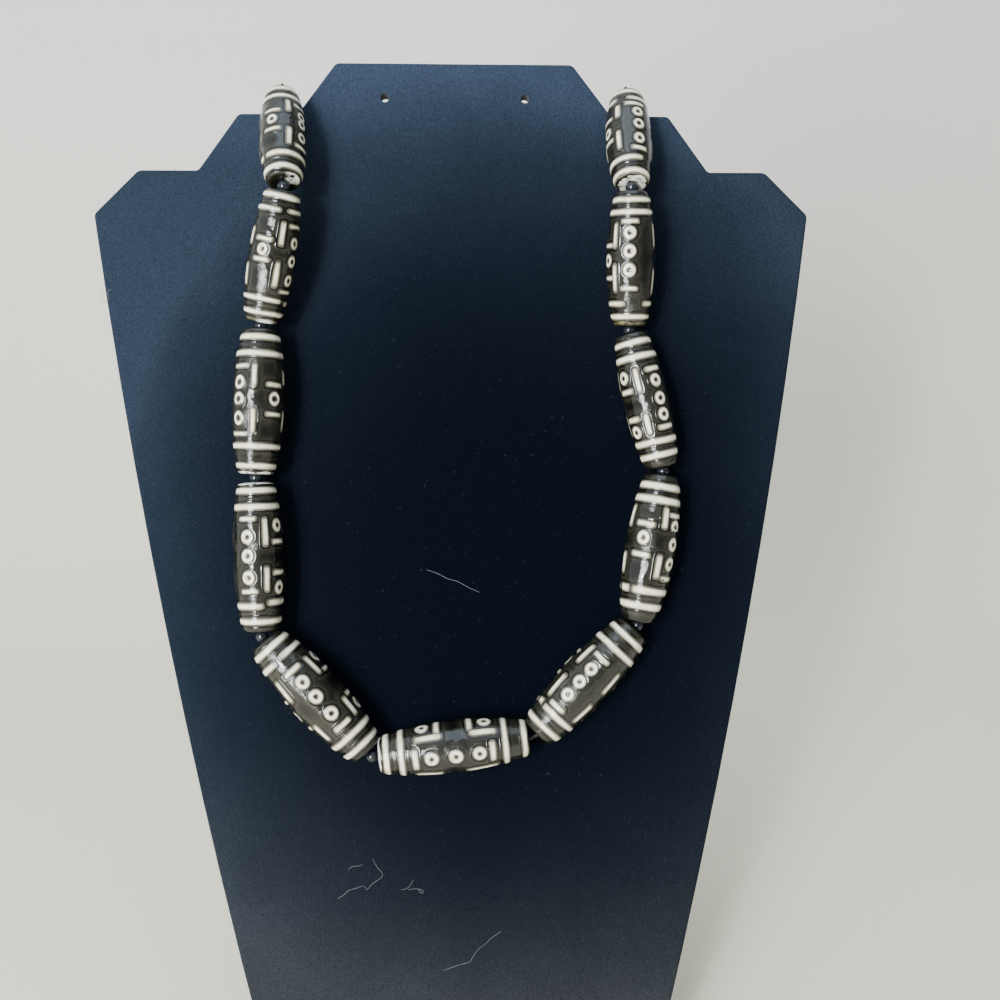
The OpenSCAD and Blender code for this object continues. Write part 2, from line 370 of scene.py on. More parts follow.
lint_grey, parts, links = new_material("lint")
coords = object_coords(lint_grey)
links.new(blend(lint_grey, grain(lint_grey, coords, 300), lint_dark, lint_pale),
          parts["Principled BSDF"].inputs["Base Color"])
parts["Principled BSDF"].inputs["Roughness"].default_value = 0.8
slope_top = Vector((0, cad_box[0][1] + cad_box[1][2] * math.tan(board_lean), cad_box[1][2]))
down = Vector((0, -math.sin(board_lean), -math.cos(board_lean)))

for number, path in enumerate(lint_paths, 1):
    points = [slope_top + Vector((x, 0, 0)) / 1000 + down * drop / 1000 - back * lint_height
              for x, drop in path]
    bpy.ops.object.select_all(action="DESELECT")
    bpy.ops.mesh.primitive_plane_add(size=0.001)
    fibre = bpy.context.object
    bpy.ops.object.mode_set(mode="EDIT")
    bpy.context.tool_settings.mesh_select_mode = (True, False, False)
    bpy.ops.mesh.select_all(action="SELECT")
    bpy.ops.mesh.merge(type="CENTER")
    bpy.ops.transform.translate(value=points[0])
    for start, end in zip(points, points[1:]):
        bpy.ops.mesh.extrude_region_move(TRANSFORM_OT_translate={"value": end - start})
    bpy.ops.object.mode_set(mode="OBJECT")
    use(fibre, "SUBSURF", levels=2, render_levels=2)
    bpy.ops.object.convert(target="CURVE")
    fibre = bpy.context.object
    fibre.data.bevel_depth = lint_r
    fibre.data.bevel_resolution = 1
    fibre.data.use_fill_caps = True
    bpy.ops.object.convert(target="MESH")
    fibre = bpy.context.object
    fibre.name = f"lint_{number}"
    fibre.data.materials.append(lint_grey)
    bpy.ops.object.shade_smooth()
    settle(fibre, "velvet")


# The easel leg is a flap of the same card covered in black paper. It is scored across below its glued top, so
# that it swings out behind the board.
card_round = 0.0005
flap_corner_turn = math.radians(30)

leg = merged_copy("easel_leg", "leg_flap")
turns = edge_turns(leg)
pick(leg, "edges", lambda edge: turns[edge.index] > flap_corner_turn)
bpy.ops.mesh.bevel(offset=card_round, segments=3, affect="EDGES")
bpy.ops.object.mode_set(mode="OBJECT")
leg.data.materials.append(paper)
bpy.ops.object.shade_smooth_by_angle(angle=smooth_turn)
settle(leg, "black_card", "easel_leg")


# Each barrel bead is dark olive-brown glass wound round a rod, swollen in the middle, and the rod leaves its
# bore. The glassworker rolls it smooth while it is soft and rounds both rims in the flame.
sides = 112
bore_r = 0.0015
# The flat end is narrower than the side by the rim's width. The rim rounds off over its drop and flares a
# little, with a ring at each of the steps, and the rings of the side are a ring step apart.
rim_w = 0.0009
rim_flare = 0.00015
rim_drop = 0.001
rim_steps = (0, 0.05, 0.17, 0.36, 0.63, 1)
ring_step = 0.0006
# How thick a slice of each end is averaged to find its middle, thinner each time as the axis settles
end_slices = (4e-3, 4e-3, 2e-3, 1e-3, 4e-4, 1e-4, 2e-5)
glass_smooth_turn = math.radians(50)
glass_dark = (0.0028, 0.0030, 0.0022)
glass_light = (0.0080, 0.0083, 0.0056)
glass_haze = (0.030, 0.029, 0.021)
glass_stain = (0.16, 0.135, 0.07)
glass_white = (0.70, 0.70, 0.64)
# How many features a metre the clouds, the stains, the white paint's streaks, the shine, the crinkled patches
# and the crinkles in them have, and how deep the crinkles are
cloud_grain = 190
stain_grain = 380
streak_grain = 520
shine_grain = 420
patch_grain = 110
crinkle_grain = 2600
crinkle_depth = 0.0006


def bead_frame(node, counted_from):
    """The bead's own frame, with its height towards the end that its signs are counted from and its front
    towards the face side of the board, and its length and its widest, upper and lower radius"""
    points = np.unique(np.round([v.co for v in nodes[node].data.vertices], 7), axis=0)
    along = np.linalg.svd(points - points.mean(0), full_matrices=False)[2][0]
    for depth in end_slices:
        reach = points @ along
        upper = points[reach > reach.max() - depth]
        lower = points[reach < reach.min() + depth]
        along = upper.mean(0) - lower.mean(0)
        length = np.linalg.norm(along)
        along /= length
    middle = (upper.mean(0) + lower.mean(0)) / 2

    def radius(some):
        offsets = some - middle
        return np.linalg.norm(offsets - np.outer(offsets @ along, along), axis=1).max()

    ends = [radius(upper) + rim_w, radius(lower) + rim_w]
    wanted = {"top": (0, 0, 1), "left": (-1, 0, 0)}[counted_from]
    if along @ np.array(wanted) < 0:
        along, ends = -along, ends[::-1]
    up = Vector(along)
    front = -back - up * (-back).dot(up)
    front.normalize()
    right = up.cross(front)
    axes = Matrix((right, -front, up)).transposed().to_4x4()
    return Matrix.Translation(Vector(middle)) @ axes, length, radius(points), ends[0], ends[1]


def barrel_radius(height, length, widest, upper, lower):
    """The radius of the swollen side at a height above the bead's middle"""
    sag = widest - (upper if height > 0 else lower)
    bow = ((length / 2) ** 2 + sag ** 2) / (2 * sag)
    return widest - bow + math.sqrt(bow ** 2 - height ** 2)


def bead_rings(length, widest, upper, lower):
    """The radius and height of each ring, from the bore's lower mouth up the side to its upper mouth"""
    count = round((length - 2 * rim_drop) / ring_step)
    side = [rim_drop + (length - 2 * rim_drop) * k / count for k in range(1, count)]
    drops = [rim_drop * s for s in rim_steps]
    rings = [(bore_r, -length / 2)]
    for rise in drops + side + [length - d for d in reversed(drops)]:
        height = rise - length / 2
        near = min(rise, length - rise)
        radius = barrel_radius(height, length, widest, upper, lower)
        if near <= rim_drop:
            face = (upper if height > 0 else lower) - rim_w
            bulge = math.sqrt(1 - (1 - near / rim_drop) ** 2)
            radius = min(radius, face + (rim_w + rim_flare) * bulge)
        rings.append((radius, height))
    return rings + [(bore_r, length / 2)]


def turned_piece(name, rings):
    """A round piece with a bore: one ring drawn out to each next one, and the last joined to the first"""
    bpy.ops.object.select_all(action="DESELECT")
    bpy.ops.mesh.primitive_circle_add(vertices=sides, radius=rings[0][0], location=(0, 0, rings[0][1]))
    bpy.ops.object.transform_apply(location=True)
    piece = bpy.context.object
    piece.name = name
    bpy.ops.object.mode_set(mode="EDIT")
    bpy.context.tool_settings.mesh_select_mode = (False, True, False)
    bpy.ops.mesh.select_all(action="SELECT")
    for (r0, h0), (r1, h1) in zip(rings, rings[1:]):
        bpy.ops.mesh.extrude_region_move(TRANSFORM_OT_translate={"value": (0, 0, h1 - h0)})
        bpy.ops.transform.resize(value=(r1 / r0, r1 / r0, 1), center_override=(0, 0, h1))
    bpy.ops.object.mode_set(mode="OBJECT")
    points = piece.data.vertices
    mouth_r = rings[0][0] * 1.01
    ends = [points[0].co.z, points[-1].co.z]
    pick(piece, "edges", lambda edge: all(
        math.hypot(*piece.data.vertices[v].co.xy) < mouth_r and piece.data.vertices[v].co.z in ends
        for v in edge.vertices))
    bpy.ops.mesh.bridge_edge_loops()
    bpy.ops.mesh.select_all(action="SELECT")
    bpy.ops.mesh.normals_make_consistent(inside=False)
    bpy.ops.object.mode_set(mode="OBJECT")
    bpy.ops.object.shade_smooth_by_angle(angle=glass_smooth_turn)
    return piece


glass, parts, links = new_material("olive_black_glass")
coords = object_coords(glass)
shader = parts["Principled BSDF"]
marks = parts.new("ShaderNodeAttribute")
marks.attribute_name = "marks"
channels = parts.new("ShaderNodeSeparateColor")
links.new(marks.outputs["Color"], channels.inputs["Color"])
cloudy = grain(glass, coords, cloud_grain, 4)
colour = blend(glass, spread(glass, cloudy, 0.35, 0.7), glass_dark, glass_light)
colour = blend(glass, spread(glass, channels.outputs["Red"], 0, 1, 0, 0.6), colour, glass_haze)
patchy = parts.new("ShaderNodeMath")
patchy.operation = "MULTIPLY"
links.new(channels.outputs["Green"], patchy.inputs[0])
links.new(spread(glass, grain(glass, coords, stain_grain), 0.42, 0.62), patchy.inputs[1])
colour = blend(glass, patchy.outputs[0], colour, glass_stain)
streaky = parts.new("ShaderNodeMath")
streaky.operation = "MULTIPLY"
links.new(channels.outputs["Blue"], streaky.inputs[0])
links.new(spread(glass, grain(glass, coords, streak_grain), 0.34, 0.46), streaky.inputs[1])
colour = blend(glass, streaky.outputs[0], colour, glass_white)
links.new(colour, shader.inputs["Base Color"])
shine = spread(glass, grain(glass, coords, shine_grain), 0.3, 0.75, 0.04, 0.14)
links.new(shine, shader.inputs["Roughness"])
shader.inputs["IOR"].default_value = 1.52
crinkle = parts.new("ShaderNodeMath")
crinkle.operation = "MULTIPLY_ADD"
links.new(grain(glass, coords, crinkle_grain), crinkle.inputs[0])
links.new(spread(glass, grain(glass, coords, patch_grain, 2), 0.48, 0.68, 0.004, 0.26), crinkle.inputs[1])
links.new(spread(glass, grain(glass, coords, shine_grain, 2), 0, 1, 0, 0.22), crinkle.inputs[2])
rough_up(glass, crinkle.outputs[0], crinkle_depth)


# The signs are white glass trailed on the soft bead from a thin stringer: bands round both ends, and between
# them eyes, cross dashes and upright bars in eight columns. They stand a little proud, each in a melted
# margin and a low ridge of the dark glass that it pushed aside.
trail_h = 0.00016
trail_sunk = 0.00006
# How high the trail is at its edge, in an eye's hole, where the margin ends and on the ridge round it, as
# shares of its height in the middle, and how far outside the trail the margin, the ridge and its foot are
edge_lift, hole_lift, margin_lift, ridge_lift = 0.8, 0.38, 0.34, 0.6
margin_out, ridge_out, foot_out = 0.00050, 0.00078, 0.00115
lift_slack = 0.01
wobble = 0.00012
eye_wobble = 0.00022
eye_corners = 8
hole_bottom = 0.5
cage_step = 0.0028
upright = (math.pi / 2, 0, 0)
rolling_reach = 0.004
white_glass_colour = (0.86, 0.82, 0.65)
white_glass_edge = (0.40, 0.38, 0.27)
white_glass_dull = (0.60, 0.56, 0.42)
melt_beige = (0.115, 0.105, 0.075)
melt_brown = (0.045, 0.040, 0.028)
melt_deep = (0.022, 0.019, 0.013)
melt_dark = (0.009, 0.0085, 0.006)
mound_w = 0.0018
mound_h = 0.00011
haze_fade = 1.5
stain_fade = 1.6

white_glass, parts, links = new_material("white_trailed_glass")
coords = object_coords(white_glass)
shader = parts["Principled BSDF"]
lifted = parts.new("ShaderNodeAttribute")
lifted.attribute_name = "lift_share"
dulled = spread(white_glass, grain(white_glass, coords, 520, 4), 0.45, 0.75)
body = blend(white_glass, dulled, white_glass_colour, white_glass_dull)
links.new(blend(white_glass, spread(white_glass, lifted.outputs["Fac"], 0.8, 0.93), white_glass_edge, body),
          shader.inputs["Base Color"])
uneven = spread(white_glass, grain(white_glass, coords, 700), 0.3, 0.7, 0.16, 0.34)
links.new(uneven, shader.inputs["Roughness"])
rough_up(white_glass, grain(white_glass, coords, 900), 0.0003, 0.5)

melted_edge, parts, links = new_material("melted_edge_glass")
coords = object_coords(melted_edge)
shader = parts["Principled BSDF"]
lifted = parts.new("ShaderNodeAttribute")
lifted.attribute_name = "lift_share"
mottled = spread(melted_edge, grain(melted_edge, coords, 500), 0.35, 0.65)
outer = blend(melted_edge, mottled, melt_dark, melt_deep)
inner = blend(melted_edge, mottled, melt_brown, melt_beige)
colour = blend(melted_edge, spread(melted_edge, lifted.outputs["Fac"], 0.38, 0.52), outer, inner)
links.new(blend(melted_edge, spread(melted_edge, lifted.outputs["Fac"], 0.52, 0.72), colour, melt_beige),
          shader.inputs["Base Color"])
shader.inputs["Roughness"].default_value = 0.1
rough_up(melted_edge, grain(melted_edge, coords, 1500), 0.0002, 0.5)

# How high each kind of column's signs are, from the counted end, where none of its own are given
usual = {"eyes": (0.27, 0.37, 0.49, 0.61, 0.72), "eye": (0.38, 0.48, 0.58), "twin": (0.30, 0.40, 0.61, 0.71),
         "bars": (0.25, 0.41, 0.57, 0.74)}
# Each bead's bands: how high, from the counted end, and where a broken band starts and ends, in degrees to
# the right of the front. Its columns: the kind, how far to the right, and how high its signs are.
# Its sizes in millimetres: the eyes' width and height, the width of the bands and of the bars, and the length
# and width of the dashes, and then the width of an eye's hole as a share of its height.
necklace = {
    "bead_01": {"from": "left"},
    "bead_02": {
        "bands": [(0.06,), (0.165,), (0.805, -42, 276), (0.805, 286, 308), (0.93,)],
        "columns": [("eye", -17, 0.35, 0.45, 0.56), ("bars", 25, 0.22, 0.36, 0.54, 0.72),
                    ("eyes", 63, 0.26, 0.365, 0.455, 0.60, 0.71)],
        "sizes": (2.88, 3.07, 1.16, 1.08, 4.4, 0.76, 0.44)},
    "bead_03": {
        "bands": [(0.05,), (0.15, -180, 16), (0.145, 36, 180), (0.815, -180, 58), (0.827, 70, 180), (0.92,)],
        "columns": [("bars", -55, 0.30, 0.43, 0.57, 0.735), ("eye", -14, 0.375, 0.455, 0.53),
                    ("bars", 28, 0.23, 0.405, 0.525, 0.715), ("eyes", 67, 0.25, 0.37, 0.505, 0.65, 0.74)],
        "sizes": (2.88, 3.26, 1.07, 1.08, 4.4, 0.76, 0.4)},
    "bead_04": {
        "bands": [(0.065,), (0.18,), (0.81,), (0.943,)],
        "columns": [("eyes", -36, 0.27, 0.38, 0.495, 0.625, 0.73), ("bars", 0, 0.255, 0.41, 0.555, 0.725),
                    ("eye", 48, 0.39, 0.485, 0.59), ("bars", 80, 0.285, 0.385, 0.56, 0.70)],
        "sizes": (3.36, 3.84, 1.33, 0.99, 4.7, 0.92, 0.5)},
    "bead_05": {
        "bands": [(0.06,), (0.167,), (0.82, -180, 18), (0.80, 30, 180), (0.925,)],
        "columns": [("eyes", -15, 0.245, 0.363, 0.487, 0.63, 0.723), ("bars", 28, 0.24, 0.425, 0.56, 0.725),
                    ("twin", 64, 0.293, 0.40, 0.605, 0.705)],
        "sizes": (3.46, 3.84, 1.41, 1.26, 4.4, 1.01, 0.38)},
    "bead_06": {
        "bands": [(0.061,), (0.16, -180, -9), (0.152, 10, 180), (0.835,), (0.932,)],
        "columns": [("eye", -75, 0.40, 0.52, 0.63), ("bars", -40, 0.253, 0.42, 0.63, 0.767),
                    ("eyes", 11, 0.267, 0.367, 0.494, 0.641, 0.748), ("bars", 55, 0.253, 0.403, 0.617, 0.76),
                    ("twin", 88, 0.294, 0.40, 0.62, 0.71)],
        "sizes": (3.65, 3.94, 1.41, 1.26, 5.1, 1.09, 0.38)},
    "bead_07": {
        "from": "left",
        "bands": [(0.055,), (0.155,), (0.84,), (0.967,)],
        "columns": [("bars", -58, 0.235, 0.418, 0.571, 0.785),
                    ("eyes", -10, 0.246, 0.352, 0.512, 0.667, 0.754),
                    ("bars", 39, 0.247, 0.429, 0.613, 0.789), ("twin", 71, 0.30, 0.397, 0.613, 0.714)],
        "sizes": (3.84, 3.84, 1.33, 1.44, 5.6, 1.34, 0.34)},
    "bead_08": {
        "bands": [(0.08,), (0.198,), (0.815, -48, 274), (0.805, 284, 302), (0.925,)],
        "columns": [("bars", -57, 0.28, 0.443, 0.556, 0.742),
                    ("eyes", -20, 0.307, 0.408, 0.526, 0.645, 0.757),
                    ("bars", 41, 0.307, 0.483, 0.59, 0.762)],
        "sizes": (3.46, 3.65, 1.41, 1.26, 4.6, 1.18, 0.4)},
    "bead_09": {
        "bands": [(0.085,), (0.175,), (0.78, -39, 270), (0.779, 282, 312), (0.885,)],
        "columns": [("bars", -75, 0.227, 0.375, 0.546, 0.686), ("eye", -30, 0.342, 0.435, 0.546),
                    ("bars", 14, 0.217, 0.358, 0.532, 0.689),
                    ("eyes", 47, 0.262, 0.335, 0.453, 0.584, 0.684)],
        "sizes": (3.65, 3.94, 1.74, 1.44, 5, 1.18, 0.38)},
    "bead_10": {
        "bands": [(0.078,), (0.184,), (0.806,), (0.905,)],
        "columns": [("twin", -62, 0.313, 0.415, 0.62, 0.713), ("bars", -22, 0.261, 0.435, 0.60, 0.75),
                    ("eyes", 27, 0.29, 0.376, 0.509, 0.625, 0.714)],
        "sizes": (3.46, 3.65, 1.41, 1.17, 4.5, 1.09, 0.42)},
    "bead_11": {
        "bands": [(0.07,), (0.16,), (0.83, -180, -27), (0.83, 27, 180), (0.925,)],
        "columns": [("eye", -77, 0.40, 0.51, 0.64), ("bars", -51, 0.238, 0.419, 0.539, 0.741),
                    ("eyes", -13, 0.228, 0.311, 0.445, 0.582, 0.717),
                    ("bars", 61, 0.237, 0.418, 0.569, 0.765)],
        "sizes": (3.46, 3.65, 1.16, 0.9, 4.3, 0.92, 0.42)},
    "bead_12": {
        "bands": [(0.06,), (0.16, -180, -42), (0.16, -11, 180), (0.235, -18, 32), (0.835, -180, 26), (0.96,)],
        "columns": [("eye", -74, 0.36, 0.496, 0.603), ("bars", -38, 0.237, 0.382, 0.539, 0.728),
                    ("eyes", 16, 0.235, 0.335, 0.478, 0.636, 0.74)],
        "sizes": (3.07, 3.26, 1.16, 1.08, 4, 0.92, 0.42)},
    "bead_13": {"from": "left"},
}
usual_bands = [(0.06,), (0.165,), (0.82,), (0.93,)]
usual_sizes = (3.6, 3.85, 1.35, 1.25, 4.6, 1.1, 0.36)
# In degrees: where a whole band starts and ends, so that its ends meet, how far apart the columns at the back
# are, and how far round the first of them is at least
whole_band = (-181, 181)
column_turn = 42
back_start = 92
columns_round = 8


def all_columns(charted):
    """The charted columns with the usual ones in the places round the back that the chart leaves"""
    order = ("eyes", "bars", "twin", "bars", "eyes", "bars", "eye", "bars")
    if not charted:
        return [(kind, 360 // columns_round * k, *usual[kind]) for k, kind in enumerate(order)]
    lone = [column[0] for column in charted if column[0] != "bars"]
    columns = list(charted)
    for k in range(columns_round - len(charted)):
        place = max(charted[-1][1] + column_turn, back_start) + column_turn * k
        if (len(charted) + k) % 2 == (0 if charted[0][0] == "bars" else 1):
            kind = "bars"
        else:
            kind = "eyes" if lone[-1] != "eyes" else ("twin" if "twin" not in lone else "eye")
            lone.append(kind)
        columns.append((kind, place, *usual[kind]))
    return columns


def lift_picked(share):
    """Says how high the picked points stand, as a share of the trail's height"""
    bpy.context.tool_settings.vertex_group_weight = share
    bpy.ops.object.vertex_group_assign()


def draw_out(size, steps, middle):
    """Extrudes the picked loop from one size to the next, and gives each new loop its lift"""
    for width, height, share in steps:
        bpy.ops.mesh.extrude_region_move()
        bpy.ops.transform.resize(value=(width / size[0], 1, height / size[1]), center_override=middle)
        lift_picked(share)
        size = (width, height)


def margin_steps(width, height):
    """The size and lift of each loop outside a trail: where its margin ends, the ridge and its foot"""
    return [(width + 2 * out, height + 2 * out, share) for out, share in (
        (margin_out, margin_lift), (ridge_out, ridge_lift), (foot_out, 0))]


def lay_strip(start, end, width, seed):
    """A flat strip of cage from one place to another, on the bead's surface rolled out flat"""
    dx, dz = end[0] - start[0], end[1] - start[1]
    length = math.hypot(dx, dz)
    cuts = max(3, round(length / cage_step))
    bpy.ops.mesh.select_all(action="DESELECT")
    bpy.ops.mesh.primitive_grid_add(x_subdivisions=cuts, y_subdivisions=2, size=1, rotation=upright)
    bpy.ops.transform.resize(value=(length, 1, width), center_override=(0, 0, 0))
    bpy.ops.transform.vertex_random(offset=wobble, seed=seed)
    bpy.ops.transform.resize(value=(1, 0, 1), center_override=(0, 0, 0))
    lift_picked(1)
    bpy.ops.mesh.region_to_loop()
    lift_picked(edge_lift)
    draw_out((length, width), margin_steps(length, width), (0, 0, 0))
    bpy.ops.mesh.select_linked()
    bpy.ops.transform.rotate(value=math.atan2(dz, dx), orient_axis="Y", center_override=(0, 0, 0))
    bpy.ops.transform.translate(value=((start[0] + end[0]) / 2, 0, (start[1] + end[1]) / 2))


def lay_eye(place, width, height, hole, seed):
    """A flat ring of cage with an uneven hole, and the hole's bottom"""
    middle = (place[0], 0, place[1])
    hole_size = hole * height
    inward = [((width + hole_size) / 2, (height + hole_size) / 2, 1), (hole_size, hole_size, edge_lift),
              (hole_size * hole_bottom, hole_size * hole_bottom, hole_lift)]
    for steps in (margin_steps(width, height), inward):
        bpy.ops.mesh.select_all(action="DESELECT")
        bpy.ops.mesh.primitive_circle_add(vertices=eye_corners, radius=0.5, location=middle, rotation=upright)
        bpy.ops.transform.resize(value=(width, 1, height), center_override=middle)
        lift_picked(edge_lift)
        draw_out((width, height), steps, middle)
    bpy.ops.mesh.edge_face_add()
    bpy.ops.mesh.select_more()
    bpy.ops.transform.vertex_random(offset=eye_wobble, seed=seed)
    bpy.ops.transform.resize(value=(1, 0, 1), center_override=middle)


def lay_signs(name, bands, columns, sizes, shape, seed):
    """All the signs of a bead as cages on its surface rolled out flat, front in the middle"""
    length, widest = shape[:2]
    eye_w, eye_h, band_w, bar_w, dash_l, dash_w = (size / 1000 for size in sizes[:6])
    eye_hole = sizes[6]
    bpy.ops.object.select_all(action="DESELECT")
    bpy.ops.mesh.primitive_plane_add(size=0.001)
    sheet = bpy.context.object
    sheet.name = name
    for material in (white_glass, melted_edge, glass):
        sheet.data.materials.append(material)
    bpy.ops.object.mode_set(mode="EDIT")
    bpy.context.tool_settings.mesh_select_mode = (True, False, False)
    bpy.ops.mesh.select_all(action="SELECT")
    bpy.ops.mesh.delete(type="VERT")
    sheet.vertex_groups.new(name="lift")

    def place(degrees, share):
        return widest * math.radians(degrees), length * (0.5 - share)

    def wider(share):
        return widest / barrel_radius(length * (0.5 - share), *shape)

    def dash(degrees, share):
        x, z = place(degrees, share)
        half = dash_l * wider(share) / 2
        lay_strip((x - half, z), (x + half, z), dash_w, seed + round(1000 * share))

    def eye_ring(degrees, share):
        lay_eye(place(degrees, share), eye_w * wider(share), eye_h, eye_hole, seed + round(1000 * share))

    for share, *reach in bands:
        start, end = reach if reach else whole_band
        lay_strip(place(start, share), place(end, share), band_w, seed + round(1000 * share))
    rows = {"twin": (eye_ring, dash, dash, eye_ring), "eye": (dash, eye_ring, dash),
            "eyes": (dash, eye_ring, eye_ring, eye_ring, dash)}
    for kind, where, *shares in columns:
        where = (where + 180) % 360 - 180
        if kind == "bars":
            for top, foot in (shares[:2], shares[2:]):
                bar_width = bar_w * wider((top + foot) / 2)
                lay_strip(place(where, top), place(where, foot), bar_width, seed + round(1000 * top))
        else:
            for sign, share in zip(rows[kind], shares):
                sign(where, share)
    bpy.ops.object.mode_set(mode="OBJECT")
    return sheet


def roll_on(sheet, bead, widest):
    """Rolls the flat cages round the bead and gives each its melted margin"""
    across = [v.co.x for v in sheet.data.vertices]
    turn = (max(across) - min(across)) / widest
    use(sheet, "SIMPLE_DEFORM", deform_method="BEND", deform_axis="Z", angle=turn)
    pick(sheet, "verts", lambda v: True)
    bpy.ops.transform.translate(value=(0, -widest, 0))
    bpy.ops.mesh.remove_doubles(threshold=2e-5)
    bpy.ops.transform.vertex_random(offset=wobble, seed=len(across))
    bpy.ops.object.mode_set(mode="OBJECT")
    pick(sheet, "faces", lambda face: face.normal.dot(face.center * Vector((1, 1, 0))) < 0)
    bpy.ops.mesh.flip_normals()
    bpy.ops.object.mode_set(mode="OBJECT")
    for face in sheet.data.polygons:
        shares = [sheet.data.vertices[v].groups[0].weight for v in face.vertices]
        ridge = any(abs(share - ridge_lift) < lift_slack for share in shares)
        face.material_index = 2 if ridge else (1 if min(shares) < edge_lift - lift_slack else 0)
    use(sheet, "SUBSURF", levels=2, render_levels=2)
    use(sheet, "SHRINKWRAP", target=bead, wrap_method="PROJECT", use_negative_direction=True,
        use_positive_direction=True, project_limit=rolling_reach)


def mark_glass(bead, signs, stains, shape):
    """Lifts the bead's glass into a low mound round the signs, and marks it: red where the white has clouded
    it, green where it is stained, blue where it is painted white"""
    length = shape[0]
    marks = bead.data.color_attributes.new("marks", "FLOAT_COLOR", "POINT")
    for v in bead.data.vertices:
        found, nearest = signs.closest_point_on_mesh(v.co)[:2]
        near = max(0.0, 1 - (v.co - nearest).length / mound_w) if found else 0.0
        colour = [near ** haze_fade, 0.0, 0.0, 1.0]
        for channel, degrees, share, half_w, half_h in stains:
            angle = math.degrees(math.atan2(v.co.x, -v.co.y))
            off = ((angle - degrees + 180) % 360 - 180) / half_w
            up = (0.5 - v.co.z / length - share) / half_h
            strength = stain_fade - stain_fade * math.hypot(off, up)
            colour[channel] = max(colour[channel], min(1.0, max(0.0, strength)))
        marks.data[v.index].color = colour
        if math.hypot(*v.co.xy) > bore_r * 1.5:
            v.co += Vector((v.co.x, v.co.y, 0)).normalized() * mound_h * near ** 2 * (3 - 2 * near)


# Stains on the glass, bead by bead: 1 for a yellow stain and 2 for white, how far right and how high its
# middle is, and its half width in degrees and half height as a share of the length
stained = {
    "bead_02": [(2, 64, 0.99, 50, 0.03)],
    "bead_03": [(1, 0, 0.965, 200, 0.035), (2, 25, 0.985, 40, 0.02)],
    "bead_04": [(1, 0, 0.962, 400, 0.012), (2, 0, 0.985, 600, 0.024)],
    "bead_05": [(2, 10, 0.022, 110, 0.016), (1, -50, 0.03, 60, 0.02)],
    "bead_07": [(2, 0, 0.018, 500, 0.020), (1, 0, 0.030, 300, 0.008)],
    "bead_11": [(1, 0, 0.965, 200, 0.03)],
    "bead_12": [(2, 0, 1.01, 400, 0.05)],
}

for number, (node, chart) in enumerate(necklace.items(), 1):
    place_at, *shape = bead_frame(node, chart.get("from", "top"))
    bead = turned_piece(f"barrel_{number:02d}", bead_rings(*shape))
    bead.data.materials.append(glass)
    signs = lay_signs(f"trails_{number:02d}", chart.get("bands", usual_bands),
                      all_columns(chart.get("columns", [])), chart.get("sizes", usual_sizes), shape, number)
    roll_on(signs, bead, shape[1])
    mark_glass(bead, signs, stained.get(node, []), shape)
    use(signs, "SHRINKWRAP", target=bead, wrap_method="NEAREST_SURFACEPOINT", wrap_mode="ABOVE_SURFACE",
        offset=-trail_sunk)
    use(signs, "DISPLACE", strength=trail_h + trail_sunk, mid_level=0, vertex_group="lift")
    lift = signs.data.attributes.new("lift_share", "FLOAT", "POINT")
    for v in signs.data.vertices:
        lift.data[v.index].value = v.groups[0].weight if v.groups else 0
    bpy.ops.object.shade_smooth()
    for piece in (bead, signs):
        piece.data.transform(place_at)
    settle(bead, "patterned_glass", node)
    settle(signs, "patterned_glass")


# The small round spacers between the barrels are pressed black glass. Each has a drilled hole that the thread
# goes through.
spacer_black = (0.006, 0.007, 0.010)
spacer_blue = (0.020, 0.024, 0.034)

black_glass, parts, links = new_material("black_glass")
coords = object_coords(black_glass)
shader = parts["Principled BSDF"]
links.new(blend(black_glass, grain(black_glass, coords, 700), spacer_black, spacer_blue),
          shader.inputs["Base Color"])
shader.inputs["Roughness"].default_value = 0.06
shader.inputs["IOR"].default_value = 1.55
rough_up(black_glass, grain(black_glass, coords, 900), 0.0001, 0.5)

for node in sorted(n for n in nodes if n.startswith("spacer")):
    spacer = merged_copy(node, "round_" + node)
    spacer.data.materials.append(black_glass)
    bpy.ops.object.shade_smooth_by_angle(angle=glass_smooth_turn)
    settle(spacer, "black_glass", node)


# The thread is black twisted nylon that runs through every bore and closes the loop. Its two ends are tied
# off inside the clasp.
thread_dark = (0.006, 0.006, 0.007)
thread_pale = (0.03, 0.03, 0.034)

thread_black, parts, links = new_material("black_thread")
coords = object_coords(thread_black)
shader = parts["Principled BSDF"]
links.new(blend(thread_black, grain(thread_black, coords, 3000), thread_dark, thread_pale),
          shader.inputs["Base Color"])
shader.inputs["Roughness"].default_value = 0.7

thread = merged_copy("thread", "beading_thread")
thread.data.materials.append(thread_black)
bpy.ops.object.shade_smooth()
settle(thread, "thread", "thread")


# The clasp is a plain metal barrel of two halves that screw together, closed round the thread's ends. It is
# turned like the beads, and brushed along its length.
clasp_round = 0.0004
clasp_seam_w = 0.00025
clasp_turns = (math.pi / 2, math.pi / 3, math.pi / 6, 0)
metal_dark = (0.55, 0.55, 0.57)
metal_pale = (0.72, 0.72, 0.73)
brushed_along = (0.15, 1, 1)

clasp_metal, parts, links = new_material("clasp_metal")
coords = object_coords(clasp_metal)
shader = parts["Principled BSDF"]
links.new(blend(clasp_metal, grain(clasp_metal, coords, 500, 3, brushed_along), metal_dark, metal_pale),
          shader.inputs["Base Color"])
shader.inputs["Metallic"].default_value = 1
links.new(spread(clasp_metal, grain(clasp_metal, coords, 900, 3, brushed_along), 0.3, 0.7, 0.2, 0.36),
          shader.inputs["Roughness"])


